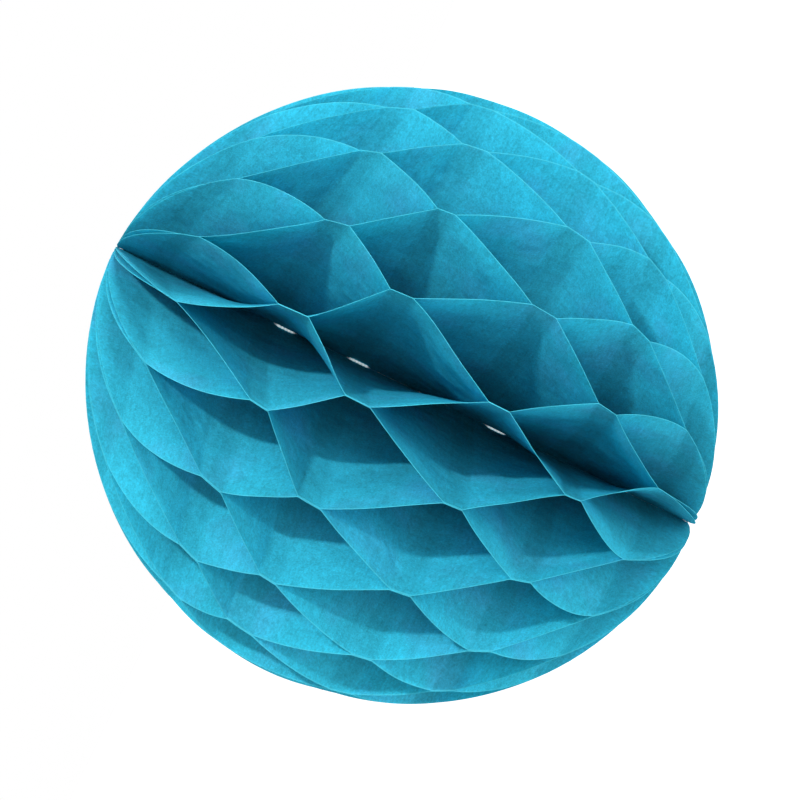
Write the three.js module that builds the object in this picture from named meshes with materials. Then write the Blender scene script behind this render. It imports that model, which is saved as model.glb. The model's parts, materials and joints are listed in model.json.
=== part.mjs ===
// Paper honeycomb ball: forty half-disc tissue leaves, stitched along their straight edges
// to one thread and fanned out all round it, between two card covers that tape holds together.
//
// Frame: millimetres. The origin is the middle of the spine, +Z runs along the spine to the
// end that the ball hangs by, and the covers meet in the half plane x = 0, y > 0.

import * as THREE from "three";

// Driving dimensions
const CUT_RADIUS = 50; // radius of the half discs, so the ball is 100 mm from pole to pole
const STITCH_MARGIN = 2.5; // the stitched line lies this far in from the straight edge
const GATHER_RADIUS = 4; // within this distance of the thread the leaves are gathered
const LEAF_COUNT = 40;
const RIM_STEPS = 20; // straight sides in each half disc's round edge

const LEAF_ROOT_THICKNESS = 0.03; // at the gather radius
const LEAF_RIM_THICKNESS = 0.2; // at the rim
const COVER_ROOT_THICKNESS = 0.06;
const COVER_RIM_THICKNESS = 0.38;
const COVER_TURN = 0.5; // degrees from the closing plane to the middle of a cover

const TAPE_WIDTH = 8;
const TAPE_LENGTH = 56;
const TAPE_THICKNESS = 0.1;
const TAPE_FROM_SPINE = 33; // distance from the spine to the middle of the tape

const THREAD_RADIUS = 0.3;
const KNOT_RADIUS = 0.9;
const KNOT_CLEARANCE = 0.3;

// Worked out from them
const RIM_RADIUS = CUT_RADIUS - STITCH_MARGIN; // from the spine to the rim at mid height
const SPINE_HALF_LENGTH = Math.sqrt(CUT_RADIUS ** 2 - STITCH_MARGIN ** 2);
const LEAF_TURN = 360 / LEAF_COUNT; // degrees between neighbouring leaves
const CLOSING_AZIMUTH = 90; // degrees from +X to the plane where the covers meet

const colours = {
  tissue: { color: 0x1f9fc6, roughness: 0.85, metalness: 0 },
  card: { color: 0x1786ab, roughness: 0.8, metalness: 0 },
  tape: { color: 0xe9ecec, roughness: 0.4, metalness: 0 },
  thread: { color: 0xf2f4f4, roughness: 0.7, metalness: 0 },
};

const radians = THREE.MathUtils.degToRad;

function piece(name, geometry, finish) {
  const mesh = new THREE.Mesh(geometry, new THREE.MeshStandardMaterial(colours[finish]));
  mesh.name = name;
  return mesh;
}

// Half disc in its own plane: first coordinate is the distance from the spine, second the
// height. Its straight side is cut off at the gather radius.
function halfDisc() {
  const halfHeight = Math.sqrt(CUT_RADIUS ** 2 - (GATHER_RADIUS + STITCH_MARGIN) ** 2);
  const endAngle = Math.atan2(halfHeight, GATHER_RADIUS + STITCH_MARGIN);
  const outline = new THREE.Shape();
  outline.absarc(-STITCH_MARGIN, 0, CUT_RADIUS, -endAngle, endAngle, false);
  outline.closePath();
  return outline;
}

// A half disc standing in the plane y = 0, with its middle at azimuth 0. It thickens evenly
// from the gather radius to the rim, so that many of them close up round one spine.
function tapered(rootThickness, rimThickness) {
  const geometry = new THREE.ExtrudeGeometry(halfDisc(), {
    depth: 1,
    bevelEnabled: false,
    curveSegments: RIM_STEPS / 2, // an arc takes two sides for each segment
  });
  const slope = (rimThickness - rootThickness) / (RIM_RADIUS - GATHER_RADIUS);
  const at = geometry.getAttribute("position");
  for (let i = 0; i < at.count; i++) {
    const fromSpine = at.getX(i);
    const height = at.getY(i);
    const side = at.getZ(i) - 0.5;
    const thickness = rootThickness + slope * (fromSpine - GATHER_RADIUS);
    at.setXYZ(i, fromSpine, -side * thickness, height);
  }
  geometry.computeVertexNormals();
  return geometry;
}

// Places a geometry whose middle is at azimuth 0 at a turn, in degrees, past the closing plane.
function fanned(name, geometry, finish, turn) {
  const mesh = piece(name, geometry, finish);
  mesh.rotation.z = radians(CLOSING_AZIMUTH + turn);
  return mesh;
}

function leaves() {
  const group = new THREE.Group();
  const leaf = tapered(LEAF_ROOT_THICKNESS, LEAF_RIM_THICKNESS);
  for (let i = 0; i < LEAF_COUNT; i++) {
    const name = `leaf_${String(i + 1).padStart(2, "0")}`;
    group.add(fanned(name, leaf, "tissue", (i + 0.5) * LEAF_TURN));
  }
  return group;
}

// The two covers meet back to back, with a strip of double-sided tape between them.
function covers() {
  const group = new THREE.Group();
  const cover = tapered(COVER_ROOT_THICKNESS, COVER_RIM_THICKNESS);
  group.add(fanned("cover_first", cover, "card", COVER_TURN));
  group.add(fanned("cover_last", cover, "card", -COVER_TURN));
  const strip = new THREE.BoxGeometry(TAPE_THICKNESS, TAPE_WIDTH, TAPE_LENGTH);
  const tape = piece("closing_tape", strip, "tape");
  tape.position.y = TAPE_FROM_SPINE;
  group.add(tape);
  return group;
}

// The thread that the leaves are stitched to, and the knot that ends it at each pole.
function stitching() {
  const group = new THREE.Group();
  const knotHeight = SPINE_HALF_LENGTH - KNOT_RADIUS;
  const threadLength = 2 * (knotHeight - KNOT_RADIUS - KNOT_CLEARANCE);
  const rod = new THREE.CylinderGeometry(THREAD_RADIUS, THREAD_RADIUS, threadLength, 8);
  const thread = piece("stitching_thread", rod, "thread");
  thread.rotation.x = Math.PI / 2;
  group.add(thread);
  const ball = new THREE.SphereGeometry(KNOT_RADIUS, 12, 8);
  for (const [name, end] of [["knot_top", 1], ["knot_bottom", -1]]) {
    const knot = piece(name, ball, "thread");
    knot.position.z = end * knotHeight;
    group.add(knot);
  }
  return group;
}

const honeycombBall = new THREE.Group();
honeycombBall.add(leaves(), covers(), stitching());

export default honeycombBall;
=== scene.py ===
import json
import math

import bpy
import numpy as np
from mathutils import Matrix, Vector

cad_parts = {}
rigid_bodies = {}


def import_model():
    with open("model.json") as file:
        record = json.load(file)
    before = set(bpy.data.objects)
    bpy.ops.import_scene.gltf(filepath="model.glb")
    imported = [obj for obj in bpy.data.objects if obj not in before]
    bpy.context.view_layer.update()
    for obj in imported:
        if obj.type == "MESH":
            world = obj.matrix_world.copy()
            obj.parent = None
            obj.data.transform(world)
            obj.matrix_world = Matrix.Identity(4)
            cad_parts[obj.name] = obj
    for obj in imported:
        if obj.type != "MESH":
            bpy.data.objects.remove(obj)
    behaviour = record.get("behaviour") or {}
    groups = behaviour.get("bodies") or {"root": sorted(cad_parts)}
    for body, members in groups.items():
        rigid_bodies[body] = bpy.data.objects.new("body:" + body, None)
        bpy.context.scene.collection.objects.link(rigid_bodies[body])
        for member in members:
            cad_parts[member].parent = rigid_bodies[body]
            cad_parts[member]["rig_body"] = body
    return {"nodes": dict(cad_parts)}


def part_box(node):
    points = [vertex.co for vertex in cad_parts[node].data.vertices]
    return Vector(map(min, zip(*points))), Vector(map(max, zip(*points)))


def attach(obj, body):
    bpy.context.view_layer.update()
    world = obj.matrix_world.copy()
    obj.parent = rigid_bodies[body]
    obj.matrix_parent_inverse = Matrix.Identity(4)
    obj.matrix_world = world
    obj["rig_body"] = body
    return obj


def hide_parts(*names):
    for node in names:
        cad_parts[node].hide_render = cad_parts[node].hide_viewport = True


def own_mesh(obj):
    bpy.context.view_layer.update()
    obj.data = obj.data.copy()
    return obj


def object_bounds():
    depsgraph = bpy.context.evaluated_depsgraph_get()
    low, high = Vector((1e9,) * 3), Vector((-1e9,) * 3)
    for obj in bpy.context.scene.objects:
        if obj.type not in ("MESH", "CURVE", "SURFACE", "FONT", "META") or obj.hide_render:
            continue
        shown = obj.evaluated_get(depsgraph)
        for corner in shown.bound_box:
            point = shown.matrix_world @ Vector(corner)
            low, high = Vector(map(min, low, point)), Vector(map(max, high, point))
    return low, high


# A paper honeycomb ball: forty tissue leaves, each glued in stripes to the next, fanned out
# all round a stitched spine. Everything is in metres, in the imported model's frame: +Z runs
# along the spine, and the two card covers meet in the half plane x = 0, y > 0.

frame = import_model()
cad_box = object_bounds()
MM = 0.001

# ---------------------------------------------------------------- sizes from the frame
LEAVES = sorted(n for n in frame["nodes"] if n.startswith("leaf_"))
LEAF_COUNT = len(LEAVES)
TURN = 2 * math.pi / LEAF_COUNT  # between neighbouring leaves
SPINE_HALF = (cad_box[1].z - cad_box[0].z) / 2
RIM_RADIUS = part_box("cover_first")[1].y  # from the spine to the rim at mid height
# The rim is an arc through both ends of the spine, struck from a little behind the spine.
CUT_RADIUS = (RIM_RADIUS + SPINE_HALF**2 / RIM_RADIUS) / 2
STITCH_MARGIN = CUT_RADIUS - RIM_RADIUS
CLOSING_AZIMUTH = math.pi / 2  # the half plane where the covers meet

# ---------------------------------------------------------------- the tissue
ROOT_RADIUS = 0.32 * MM  # the inner edge of the leaves, gathered round the thread
TISSUE_ROOT = 0.04 * MM  # thickness at the inner edge
TISSUE_RIM = 0.06 * MM  # thickness at the rim
GLUE_GAP = 0.015 * MM  # between two leaves where they are glued together
GLUE_WIDTH = 3.4 * MM
# Heights of the glue stripes at the rim, from the top down. They join a leaf in turn to the
# leaf before it and to the leaf after it.
GLUE_HEIGHTS = [h * MM for h in (38.0, 20.3, 8.7, -9.0, -22.8, -37.8)]
TIP_HEIGHT = SPINE_HALF - 0.2 * MM  # where a leaf ends at each pole
TIP_RETURN = 0.6  # how far a leaf swings back to its middle between the last stripe and the tip
SAG = 1.5 * MM  # the leaves reach this much further on the low side, and less on the high side
LOW_SIDE = math.pi  # azimuth of the low side

# How unevenly the stripes lie
HEIGHT_SPREAD = 0.45 * MM
TURN_SPREAD = math.radians(0.45)
WIDTH_SPREAD = 0.5 * MM
CRUMPLE = 0.06  # how wavy the faces are, as a share of the turn between leaves
RIM_CRUMPLE = 0.15  # the share of the waves that is left at the rim
CREASE_ANGLE = math.radians(45)  # the folds look soft, and the cut edges sharp

# Rows of faces in a slope, in a glue stripe and in an end
SLOPE_ROWS, STRIPE_ROWS, TIP_ROWS = 16, 3, 12
COLUMNS = 28  # points from the spine to the rim

# ---------------------------------------------------------------- the stitches
STITCHES = [h * MM for h in (21.0, 8.4, -3.8, -15.6)]  # towards the ends the paper hides them
STITCH_HALF = 2.3 * MM
STITCH_RISE = 1.7 * MM  # how far from the spine the thread lies in the middle of a stitch
PLY_RADIUS = 0.1 * MM  # the thread is two plies, twisted together
PLY_TWIST = 1.1 * MM
THREAD_POINTS = 900

# ---------------------------------------------------------------- the covers
COVER_TURN = math.radians(0.5)  # from the closing plane to the middle of a cover
COVER_SPACE = math.radians(1.0)  # the outermost leaves stop this far from that plane
COVER_ROOT_RADIUS = 4 * MM
COVER_ROOT = 0.06 * MM  # thickness at the inner edge
COVER_RIM = 0.36 * MM  # thickness at the rim
COVER_NECK = 0.2 * MM  # how wide a cover still is at its two ends
COVER_ROWS = 96

random = np.random.default_rng(40)


def outline(height):
    """Distance of the rim from the spine at a height."""
    return np.sqrt(np.maximum(CUT_RADIUS**2 - height**2, 0)) - STITCH_MARGIN


def flat_heights():
    """Where the glue stripes meet the spine. The sloping paper between two stripes is longer
    than it is high, so they lie further apart at the spine than at the rim."""
    heights = [0]
    for upper, lower in zip(GLUE_HEIGHTS, GLUE_HEIGHTS[1:]):
        sideways = TURN * (outline(upper) + outline(lower)) / 2
        slope = math.hypot(upper - lower - GLUE_WIDTH, sideways)
        heights.append(heights[-1] - GLUE_WIDTH - slope)
    shift = (GLUE_HEIGHTS[0] + GLUE_HEIGHTS[-1] - heights[-1]) / 2
    return [h + shift for h in heights]


FLAT_HEIGHTS = flat_heights()


# ---------------------------------------------------------------- leaves
def glue_joints():
    """Each stripe's own small shift in height, turn and width, at each boundary between
    leaves. The two leaves that it joins share it."""
    spreads = (HEIGHT_SPREAD, TURN_SPREAD, WIDTH_SPREAD)
    shape = (LEAF_COUNT + 1, len(GLUE_HEIGHTS))
    height, turn, width = (random.normal(0, s, shape).clip(-2 * s, 2 * s) for s in spreads)
    turn[0] = turn[-1] = 0  # the covers are flat
    return height, turn, GLUE_WIDTH + width


JOINT_HEIGHT, JOINT_TURN, JOINT_WIDTH = glue_joints()


class Line:
    """A line on a leaf, from its inner edge out to the rim. flat is its height at the spine
    and rim its height at the rim. aside is 1 or -1 where the leaf lies beside a glued one."""

    def __init__(self, flat, rim, azimuth, aside=0):
        self.flat, self.rim, self.azimuth, self.aside = flat, rim, azimuth, aside

    def at(self, radius):
        share = (radius / outline(self.rim)) ** 2
        beside = self.aside * (tissue_thickness(radius) + GLUE_GAP) / 2 / radius
        return self.flat + (self.rim - self.flat) * share, self.azimuth + beside


def tissue_thickness(radius):
    return TISSUE_ROOT + (TISSUE_RIM - TISSUE_ROOT) * radius / RIM_RADIUS


def boundary_azimuth(boundary):
    """Azimuth of the plane between a leaf and the one before it."""
    space = {0: COVER_SPACE, LEAF_COUNT: -COVER_SPACE}.get(boundary, 0)
    return CLOSING_AZIMUTH + boundary * TURN + space


def leaf_lines(leaf):
    """The lines that a leaf is ruled from, from the top down: its top end, both edges of each
    glue stripe, and its bottom end."""
    middle = CLOSING_AZIMUTH + (leaf + 0.5) * TURN
    lines = []
    for level, (flat, rim) in enumerate(zip(FLAT_HEIGHTS, GLUE_HEIGHTS)):
        joins_leaf_before = (leaf + level) % 2 == 1
        boundary = leaf if joins_leaf_before else leaf + 1
        shift = JOINT_HEIGHT[boundary, level]
        half = JOINT_WIDTH[boundary, level] / 2
        azimuth = boundary_azimuth(boundary) + JOINT_TURN[boundary, level]
        aside = 1 if joins_leaf_before else -1
        for edge in (half, -half):
            lines.append(Line(flat + shift + edge, rim + shift + edge, azimuth, aside))
    tips = []
    for height, last in ((TIP_HEIGHT, lines[0]), (-TIP_HEIGHT, lines[-1])):
        azimuth = last.azimuth + (middle - last.azimuth) * TIP_RETURN
        tips.append(Line(height, height, azimuth, last.aside))
    return [tips[0], *lines, tips[1]]


def crumple(t, columns):
    """Soft random waves over one face, still where it is glued. t and columns run 0 to 1."""
    field = np.zeros(np.broadcast(t, columns).shape)
    for along in (1, 2, 3):
        for out in range(4):
            size = random.normal() / (along * (1 + 0.6 * out))
            field += size * np.sin(along * math.pi * t) * np.cos(out * math.pi * columns)
    return field * CRUMPLE * TURN * (1 - (1 - RIM_CRUMPLE) * columns**3)


def leaf_surface(leaf):
    """Tables of a leaf's points, row by row from the top and out from the spine: radius,
    height, azimuth and the height where each lay on the flat sheet."""
    lines = leaf_lines(leaf)
    columns = np.linspace(0, 1, COLUMNS)
    sag = SAG * math.cos(CLOSING_AZIMUTH + (leaf + 0.5) * TURN - LOW_SIDE)
    tables = []
    for i, (above, below) in enumerate(zip(lines, lines[1:])):
        at_an_end, sloping = i in (0, len(lines) - 2), i % 2 == 0
        count = TIP_ROWS if at_an_end else SLOPE_ROWS if sloping else STRIPE_ROWS
        t = np.linspace(0, 1, count + 1)[:, None]
        if i < len(lines) - 2:
            t = t[:-1]  # the last row is the next span's first

        def ruled(radius):
            (high, start), (low, stop) = above.at(radius), below.at(radius)
            return high + (low - high) * t, start + (stop - start) * t

        # the rim lies where the ruled line meets the outline, found step by step
        rim = np.full(t.shape, RIM_RADIUS)
        for _ in range(30):
            rim = (rim + outline(ruled(rim)[0]) + sag) / 2
        radius = ROOT_RADIUS + (rim - ROOT_RADIUS) * columns
        height, azimuth = ruled(radius)
        if sloping and not at_an_end:
            azimuth = azimuth + crumple(t, columns)
        flat = np.broadcast_to(above.flat + (below.flat - above.flat) * t, radius.shape)
        tables.append((radius, height, azimuth, flat))
    return [np.concatenate(table) for table in zip(*tables)]


def thin_sheet(name, radius, height, azimuth, thickness, flat, material):
    """A closed thin sheet from tables of points in rows. It keeps each point's place on the
    flat sheet, as shares of the cut's size, in its UV map, and its distance from the rim."""
    rows, columns = radius.shape
    out = np.stack([np.cos(azimuth), np.sin(azimuth), 0 * azimuth], -1)
    across = np.stack([-np.sin(azimuth), np.cos(azimuth), 0 * azimuth], -1)
    middle = out * radius[..., None] + np.array([0, 0, 1]) * height[..., None]
    half = across * thickness[..., None] / 2
    points = np.concatenate([(middle + half).reshape(-1, 3), (middle - half).reshape(-1, 3)])
    number = np.arange(rows * columns).reshape(rows, columns)
    a, b, c, d = number[:-1, :-1], number[:-1, 1:], number[1:, 1:], number[1:, :-1]
    front = np.stack([a, b, c, d], -1).reshape(-1, 4)
    back = front[:, ::-1] + rows * columns
    edge = np.concatenate([number[0], number[1:, -1], number[-1, -2::-1], number[-2:0:-1, 0]])
    after = np.roll(edge, -1)
    rim = np.stack([after, edge, edge + rows * columns, after + rows * columns], -1)
    mesh = bpy.data.meshes.new(name)
    mesh.from_pydata(points.tolist(), [], np.concatenate([front, back, rim]).tolist())
    mesh.polygons.foreach_set("use_smooth", np.ones(len(mesh.polygons), bool))
    mesh.set_sharp_from_angle(angle=CREASE_ANGLE)
    place = np.stack([radius / CUT_RADIUS, flat / CUT_RADIUS / 2 + 0.5], -1).reshape(-1, 2)
    loops = np.zeros(len(mesh.loops), np.int32)
    mesh.loops.foreach_get("vertex_index", loops)
    uv = mesh.uv_layers.new(name="sheet")
    uv.data.foreach_set("uv", place[loops % (rows * columns)].ravel().astype(np.float32))
    to_rim = np.tile((radius[:, -1:] - radius).ravel() / MM, 2).astype(np.float32)
    mesh.attributes.new("to_rim", "FLOAT", "POINT").data.foreach_set("value", to_rim)
    mesh.materials.append(material)
    piece = bpy.data.objects.new(name, mesh)
    bpy.context.scene.collection.objects.link(piece)
    return piece


def make_leaves(material):
    for leaf, node in enumerate(LEAVES):
        radius, height, azimuth, flat = leaf_surface(leaf)
        name = f"tissue_{node}"
        piece = thin_sheet(name, radius, height, azimuth, tissue_thickness(radius), flat, material)
        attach(piece, node)
        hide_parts(node)
        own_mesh(piece)


# ---------------------------------------------------------------- covers, tape, thread
def make_covers(material):
    columns = np.linspace(0, 1, COLUMNS)
    height = np.linspace(TIP_HEIGHT, -TIP_HEIGHT, COVER_ROWS + 1)[:, None]
    rim = np.maximum(outline(height), COVER_ROOT_RADIUS + COVER_NECK)
    radius = COVER_ROOT_RADIUS + (rim - COVER_ROOT_RADIUS) * columns
    share = (radius - COVER_ROOT_RADIUS) / (RIM_RADIUS - COVER_ROOT_RADIUS)
    thickness = COVER_ROOT + (COVER_RIM - COVER_ROOT) * share
    heights = np.broadcast_to(height, radius.shape)
    for node, side in (("cover_first", 1), ("cover_last", -1)):
        azimuth = np.full(radius.shape, CLOSING_AZIMUTH + side * COVER_TURN)
        piece = thin_sheet(f"card_{node}", radius, heights, azimuth, thickness, heights, material)
        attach(piece, frame["nodes"][node]["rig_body"])
        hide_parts(node)


def tube(name, strands, radius, sides, material, closed=False):
    """Round tubes along lists of points, as one mesh."""
    points, faces = [], []
    for line in strands:
        line = np.array(line)
        ahead = np.roll(line, -1, 0) - np.roll(line, 1, 0)
        if not closed:
            ahead[0], ahead[-1] = line[1] - line[0], line[-1] - line[-2]
        ahead /= np.linalg.norm(ahead, axis=1)[:, None]
        up = np.cross(ahead[0], [0.3, 0.9, 0.2])
        first = len(points)
        for place, along in zip(line, ahead):
            up = up - along * up.dot(along)
            up /= np.linalg.norm(up)
            side = np.cross(along, up)
            for k in range(sides):
                turn = 2 * math.pi * k / sides
                points.append(place + radius * (up * math.cos(turn) + side * math.sin(turn)))
        count = len(line)
        for i in range(count if closed else count - 1):
            for k in range(sides):
                here, there = first + i * sides, first + (i + 1) % count * sides
                after = (k + 1) % sides
                faces.append([here + k, here + after, there + after, there + k])
        if not closed:
            faces.append([first + k for k in reversed(range(sides))])
            faces.append([first + (count - 1) * sides + k for k in range(sides)])
    mesh = bpy.data.meshes.new(name)
    mesh.from_pydata([list(p) for p in points], [], faces)
    mesh.polygons.foreach_set("use_smooth", np.ones(len(mesh.polygons), bool))
    mesh.materials.append(material)
    piece = bpy.data.objects.new(name, mesh)
    bpy.context.scene.collection.objects.link(piece)
    return piece


def stitched_path(low, high):
    """The thread's course up the spine. It comes out to lie on the gathered paper in short
    stitches on the side that faces the camera, each in the cell that is open there."""
    heights = np.linspace(low, high, THREAD_POINTS)
    path = np.stack([0 * heights, 0 * heights, heights], -1)
    front = LEAF_COUNT // 2 - 1
    for height in STITCHES:
        glued = min(range(len(FLAT_HEIGHTS)), key=lambda i: abs(FLAT_HEIGHTS[i] - height))
        open_plane = front + 1 if (front + glued) % 2 == 1 else front
        azimuth = boundary_azimuth(open_plane)
        share = np.clip(np.abs(heights - height) / STITCH_HALF, 0, 1)
        out = STITCH_RISE * (1 - share**4) ** 2
        path[:, 0] += out * math.cos(azimuth)
        path[:, 1] += out * math.sin(azimuth)
    return path


def make_stitching(material):
    low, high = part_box("stitching_thread")
    path = stitched_path(low.z, high.z)
    strands = []
    for start in (0, math.pi):
        turn = 2 * math.pi * path[:, 2] / PLY_TWIST + start
        strands.append(path + PLY_RADIUS * np.stack([np.cos(turn), np.sin(turn), 0 * turn], -1))
    thread = tube("stitching", strands, PLY_RADIUS, 8, material)
    pieces = [(thread, "stitching_thread")]
    for node in ("knot_top", "knot_bottom"):
        low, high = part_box(node)
        middle, size = (low + high) / 2, (high.x - low.x) / 2
        # an overhand knot is a trefoil. This one reaches 3 from its middle, and is then scaled to
        # fill the node's box with its own thickness.
        t = np.linspace(0, 2 * math.pi, 60, endpoint=False)
        loop = np.stack([np.sin(t) + 2 * np.sin(2 * t), np.cos(t) - 2 * np.cos(2 * t),
                         -1.6 * np.sin(3 * t)], -1)
        knot = tube(f"tied_{node}", [np.array(middle) + loop * size / 4.2], size / 3.6, 10,
                    material, closed=True)
        pieces.append((knot, node))
    for piece, node in pieces:
        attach(piece, "spine")
        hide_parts(node)
    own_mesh(thread)


# ---------------------------------------------------------------- materials
NOISE_LOW, NOISE_HIGH = 0.3, 0.7  # a noise texture stays mostly within these


class Graph:
    """Short ways to add nodes to a material."""

    def __init__(self, name):
        self.material = bpy.data.materials.new(name)
        self.material.use_nodes = True
        self.tree = self.material.node_tree
        self.tree.nodes.clear()
        self.output = self.tree.nodes.new("ShaderNodeOutputMaterial")

    def node(self, kind, inputs=None, **settings):
        made = self.tree.nodes.new(f"ShaderNode{kind}")
        for key, value in settings.items():
            setattr(made, key, value)
        for key, value in (inputs or {}).items():
            if isinstance(value, bpy.types.NodeSocket):
                self.tree.links.new(value, made.inputs[key])
            else:
                made.inputs[key].default_value = value
        return made

    def math(self, operation, *values):
        return self.node("Math", dict(enumerate(values)), operation=operation).outputs[0]

    def vector(self, operation, *values):
        return self.node("VectorMath", dict(enumerate(values)), operation=operation).outputs[0]

    def noise(self, place, scale, detail=2.0, roughness=0.5):
        inputs = {"Vector": place, "Scale": scale, "Detail": detail, "Roughness": roughness}
        return self.node("TexNoise", inputs).outputs["Fac"]

    def remap(self, value, low, high, new_low, new_high):
        inputs = {"Value": value, "From Min": low, "From Max": high,
                  "To Min": new_low, "To Max": new_high}
        return self.node("MapRange", inputs).outputs["Result"]

    def vary(self, noise, low, high):
        return self.remap(noise, NOISE_LOW, NOISE_HIGH, low, high)

    def grey(self, value):
        return self.node("CombineXYZ", {"X": value, "Y": value, "Z": value}).outputs[0]

    def mix(self, share, one, other):
        made = self.node("Mix", data_type="RGBA")
        sockets = (made.inputs[0], made.inputs[6], made.inputs[7])
        for socket, value in zip(sockets, (share, one, other)):
            if isinstance(value, bpy.types.NodeSocket):
                self.tree.links.new(value, socket)
            else:
                socket.default_value = value
        return made.outputs[2]


TISSUE = (0.05, 0.60, 0.80, 1)
TISSUE_BLUER = (0.09, 0.54, 0.81, 1)
TISSUE_GLUED = (0.03, 0.45, 0.61, 1)
TISSUE_PALE_LIT_EDGE = (0.16, 0.84, 0.97, 1)  # the cut edge is frayed and pale, and this paleness is also a painted highlight where light catches the edge
TISSUE_THROUGH = (0.1, 0.95, 0.80)  # light that has come through the paper is deeper in colour
THROUGH_SHARE = 0.42  # how much of the light goes through
GLUE_STAIN = 0.35
# how much paler the cut edge is: partly frayed fibre, partly a painted highlight
EDGE_PALENESS_AND_HIGHLIGHT = 0.42
CARD = (0.03, 0.40, 0.58)
# colour of a painted glint: the thread's glow stands in for light caught on the stitches
PAINTED_THREAD_GLINT = (0.9, 1.0, 1.0, 1)
TAPE = (0.66, 0.64, 0.58)


def sheet_place(g):
    """Place on the flat sheet, in millimetres."""
    uv = g.node("UVMap", uv_map="sheet").outputs["UV"]
    size = (CUT_RADIUS / MM, 2 * CUT_RADIUS / MM, 0)
    return g.vector("MULTIPLY", uv, size)


def tissue_material():
    g = Graph("tissue_paper")
    flat = sheet_place(g)
    up = g.math("SUBTRACT", g.node("SeparateXYZ", {"Vector": flat}).outputs[1], CUT_RADIUS / MM)
    own = g.math("MULTIPLY", g.node("ObjectInfo").outputs["Random"], 500.0)
    place = g.vector("ADD", flat, g.node("CombineXYZ", {"Z": own}).outputs[0])

    # All scales are per millimetre.
    # colour: clouds in the dye, flecks and fibres in the paper, the glue's faint stripes and the
    # pale cut edge, which is partly frayed fibre and partly a painted highlight
    cloud = g.noise(place, 0.11, 2)
    fleck = g.noise(place, 1.0, 3, 0.65)
    grain = g.noise(place, 3.6, 3, 0.7)
    fibre = g.noise(g.vector("MULTIPLY", place, (0.3, 2.4, 1.0)), 1.0, 3, 0.6)
    value = g.vary(cloud, 0.91, 1.07)
    for noise, depth in ((fleck, 0.1), (grain, 0.2), (fibre, 0.06)):
        value = g.math("ADD", value, g.vary(noise, -depth, depth))
    ragged = g.math("ADD", up, g.vary(fleck, -0.3, 0.3))
    glued, half_stripe = 0.0, GLUE_WIDTH / MM / 2
    for height in FLAT_HEIGHTS:
        away = g.math("ABSOLUTE", g.math("SUBTRACT", ragged, height / MM))
        near = g.remap(away, half_stripe + 0.3, half_stripe - 0.3, 0.0, GLUE_STAIN)
        glued = g.math("MAXIMUM", glued, near)
    bluer = g.remap(g.noise(place, 0.1, 2), 0.5, 0.75, 0.0, 0.6)
    colour = g.mix(glued, g.mix(bluer, TISSUE, TISSUE_BLUER), TISSUE_GLUED)
    colour = g.vector("MULTIPLY", colour, g.grey(value))
    # the paler band along the rim is partly frayed fibre and partly a painted highlight
    to_rim = g.node("Attribute", attribute_name="to_rim").outputs["Fac"]
    edge_fray_and_highlight = g.math("ADD", to_rim, g.vary(grain, -0.05, 0.05))
    colour = g.mix(g.remap(edge_fray_and_highlight, 0.08, 0.2, EDGE_PALENESS_AND_HIGHLIGHT, 0.0), colour, TISSUE_PALE_LIT_EDGE)

    # relief: soft waves and the tooth of the paper
    waves = g.math("MULTIPLY", g.noise(place, 0.13, 2), 0.7)
    tooth = g.math("MULTIPLY", fleck, 0.03)
    height = g.math("ADD", waves, tooth)
    bump = g.node("Bump", {"Height": height, "Strength": 1.0, "Distance": 1.0 * MM}).outputs[0]

    surface = g.node("BsdfPrincipled", {
        "Base Color": colour, "Roughness": 0.9, "Specular IOR Level": 0.05, "Normal": bump})
    deeper = g.vector("MULTIPLY", colour, TISSUE_THROUGH)
    through = g.node("BsdfTranslucent", {"Color": deeper, "Normal": bump})
    both = g.node("MixShader", {0: THROUGH_SHARE, 1: surface.outputs[0], 2: through.outputs[0]})
    g.tree.links.new(both.outputs[0], g.output.inputs["Surface"])
    return g.material


def card_material():
    g = Graph("card")
    flat = sheet_place(g)
    fleck = g.noise(flat, 1.2, 4, 0.6)
    colour = g.vector("MULTIPLY", CARD, g.grey(g.vary(fleck, 0.9, 1.1)))
    bump = g.node("Bump", {"Height": fleck, "Strength": 0.3, "Distance": 0.05 * MM}).outputs[0]
    surface = g.node("BsdfPrincipled", {"Base Color": colour, "Roughness": 0.7, "Normal": bump,
                                        "Specular IOR Level": 0.3})
    g.tree.links.new(surface.outputs[0], g.output.inputs["Surface"])
    return g.material


def thread_material():
    g = Graph("cotton_thread")
    place = g.node("TexCoord").outputs["Object"]
    hair = g.noise(g.vector("MULTIPLY", place, (9000.0, 9000.0, 1800.0)), 1.0, 3, 0.6)
    colour = g.grey(g.vary(hair, 0.85, 1.0))
    bump = g.node("Bump", {"Height": hair, "Strength": 0.5, "Distance": 0.03 * MM}).outputs[0]
    # painted glint: the thread glows a little, standing in for the light it catches, but not where
    # it runs inside the gathered paper
    across = g.vector("MULTIPLY", place, (1.0, 1.0, 0.0))
    out = g.node("VectorMath", {0: across}, operation="LENGTH").outputs["Value"]
    surface = g.node("BsdfPrincipled", {
        "Base Color": colour, "Roughness": 0.35, "Specular IOR Level": 0.8, "Normal": bump,
        "Emission Color": PAINTED_THREAD_GLINT,
        "Emission Strength": g.remap(out, 0.9 * MM, 1.6 * MM, 0.0, 0.3)})
    g.tree.links.new(surface.outputs[0], g.output.inputs["Surface"])
    return g.material


def tape_material():
    g = Graph("double_sided_tape")
    place = g.node("TexCoord").outputs["Object"]
    fibre = g.noise(g.vector("MULTIPLY", place, (2200.0, 2200.0, 350.0)), 1.0, 4, 0.6)
    colour = g.vector("MULTIPLY", TAPE, g.grey(g.vary(fibre, 0.88, 1.08)))
    bump = g.node("Bump", {"Height": fibre, "Strength": 0.4, "Distance": 0.04 * MM}).outputs[0]
    surface = g.node("BsdfPrincipled", {"Base Color": colour, "Roughness": 0.45, "Normal": bump})
    g.tree.links.new(surface.outputs[0], g.output.inputs["Surface"])
    return g.material


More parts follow.
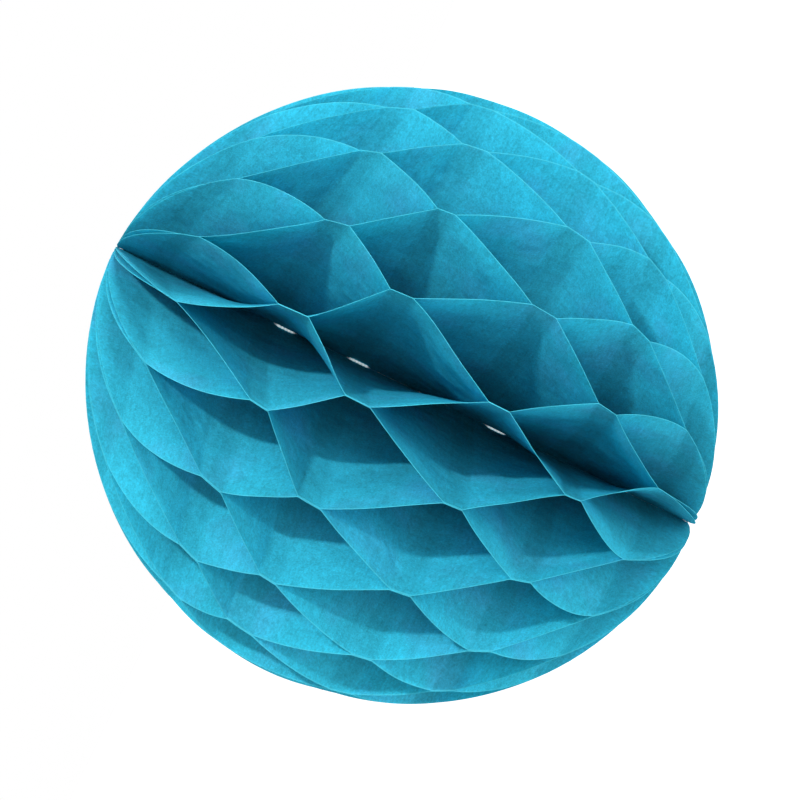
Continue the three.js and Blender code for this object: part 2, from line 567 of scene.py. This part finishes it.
# ---------------------------------------------------------------- camera, floor and light
CAMERA_DISTANCE = 5.5 * CUT_RADIUS
CAMERA_AZIMUTH = math.radians(-93.4)
CAMERA_RISE = math.radians(4.6)
CAMERA_ROLL = math.radians(-64.3)  # the spine's top end leans to the left
CAMERA_LENS = 78.9
CAMERA_SHIFT = (-0.0080, -0.0172)

# Each area light's direction right, up and towards the camera in its view, and its distance,
# width and power
LIGHTS = {
    "key": ((-0.38, 0.42, 0.85), 0.6, 0.03, 2.3),
    "fill": ((0.06, 0.1, 1), 0.8, 0.7, 3.5),
    "above": ((0, 1, 0), 0.6, 0.3, 2.0),
    "back": ((-0.4, 0.4, -0.85), 0.6, 0.1, 2.0),
}
FLOOR_SIZE = 120.0
FLOOR_DROP = 0.5  # how far the floor lies below the ball's middle
FLOOR_FADE = (0.4, 1.0)  # how far behind the ball it starts and stops growing brighter
FLOOR_GLOW = (0.55, 0.95)  # before and after that
STUDIO_LIGHT = 0.38  # strength of the light from all round, which is 1 in a cone round +Y
CONE_EDGE, CONE_FULL = 0.86, 0.91  # cosines of the angle from +Y where the cone fades in


def make_camera():
    data = bpy.data.cameras.new("camera")
    data.lens, data.sensor_width = CAMERA_LENS, 36
    data.shift_x, data.shift_y = CAMERA_SHIFT
    data.clip_start, data.clip_end = 0.01, 50
    camera = bpy.data.objects.new("camera", data)
    bpy.context.scene.collection.objects.link(camera)
    level = math.cos(CAMERA_RISE)
    back = Vector((level * math.cos(CAMERA_AZIMUTH), level * math.sin(CAMERA_AZIMUTH),
                   math.sin(CAMERA_RISE)))
    camera.location = back * CAMERA_DISTANCE
    turned = (-back).to_track_quat("-Z", "Y").to_matrix().to_4x4()
    camera.matrix_world = (Matrix.Translation(camera.location) @ turned
                           @ Matrix.Rotation(CAMERA_ROLL, 4, "Z"))
    bpy.context.scene.camera = camera
    return camera


def make_light(name, camera, direction, distance, size, power):
    """A round area light that faces the ball."""
    place = camera.matrix_world.to_3x3() @ Vector(direction).normalized() * distance
    data = bpy.data.lights.new(name, "AREA")
    data.shape, data.size, data.energy = "DISK", size, power
    light = bpy.data.objects.new(name, data)
    light.location = place
    light.rotation_mode = "QUATERNION"
    light.rotation_quaternion = (-place).to_track_quat("-Z", "Y")
    bpy.context.scene.collection.objects.link(light)


def make_floor():
    """A pale floor, running out to white behind the ball."""
    half = FLOOR_SIZE / 2
    mesh = bpy.data.meshes.new("floor")
    corners = [(-half, -half), (half, -half), (half, half), (-half, half)]
    mesh.from_pydata([(x, y, -FLOOR_DROP) for x, y in corners], [], [[0, 1, 2, 3]])
    g = Graph("pale_floor")
    place = g.node("TexCoord").outputs["Object"]
    behind = g.node("SeparateXYZ", {"Vector": place}).outputs["Y"]
    glow = g.remap(behind, *FLOOR_FADE, *FLOOR_GLOW)
    surface = g.node("BsdfPrincipled", {
        "Base Color": (0.8, 0.8, 0.8, 1), "Roughness": 0.9, "Specular IOR Level": 0.1,
        "Emission Color": (1, 1, 1, 1), "Emission Strength": glow})
    g.tree.links.new(surface.outputs[0], g.output.inputs["Surface"])
    mesh.materials.append(g.material)
    floor = bpy.data.objects.new("floor", mesh)
    bpy.context.scene.collection.objects.link(floor)


def make_world():
    """A pale studio, white to look at. Its light is strongest from behind the ball."""
    world = bpy.data.worlds.new("studio")
    bpy.context.scene.world = world
    world.use_nodes = True
    tree = world.node_tree
    place = tree.nodes.new("ShaderNodeTexCoord")
    parts = tree.nodes.new("ShaderNodeSeparateXYZ")
    remap = tree.nodes.new("ShaderNodeMapRange")
    limits = {"From Min": CONE_EDGE, "From Max": CONE_FULL, "To Min": STUDIO_LIGHT, "To Max": 1.0}
    for key, value in limits.items():
        remap.inputs[key].default_value = value
    seen = tree.nodes.new("ShaderNodeLightPath").outputs["Is Camera Ray"]
    brighter = tree.nodes.new("ShaderNodeMath")
    brighter.operation = "MAXIMUM"
    tree.links.new(place.outputs["Generated"], parts.inputs[0])
    tree.links.new(parts.outputs["Y"], remap.inputs["Value"])
    tree.links.new(remap.outputs["Result"], brighter.inputs[0])
    tree.links.new(seen, brighter.inputs[1])
    background = tree.nodes["Background"]
    background.inputs["Color"].default_value = (1, 1, 1, 1)
    tree.links.new(brighter.outputs[0], background.inputs["Strength"])


camera = make_camera()
for light, facts in LIGHTS.items():
    make_light(light, camera, *facts)
make_floor()
make_world()
bpy.context.scene.view_settings.view_transform = "Standard"

make_leaves(tissue_material())
make_covers(card_material())
make_stitching(thread_material())
frame["nodes"]["closing_tape"].data.materials.clear()
frame["nodes"]["closing_tape"].data.materials.append(tape_material())
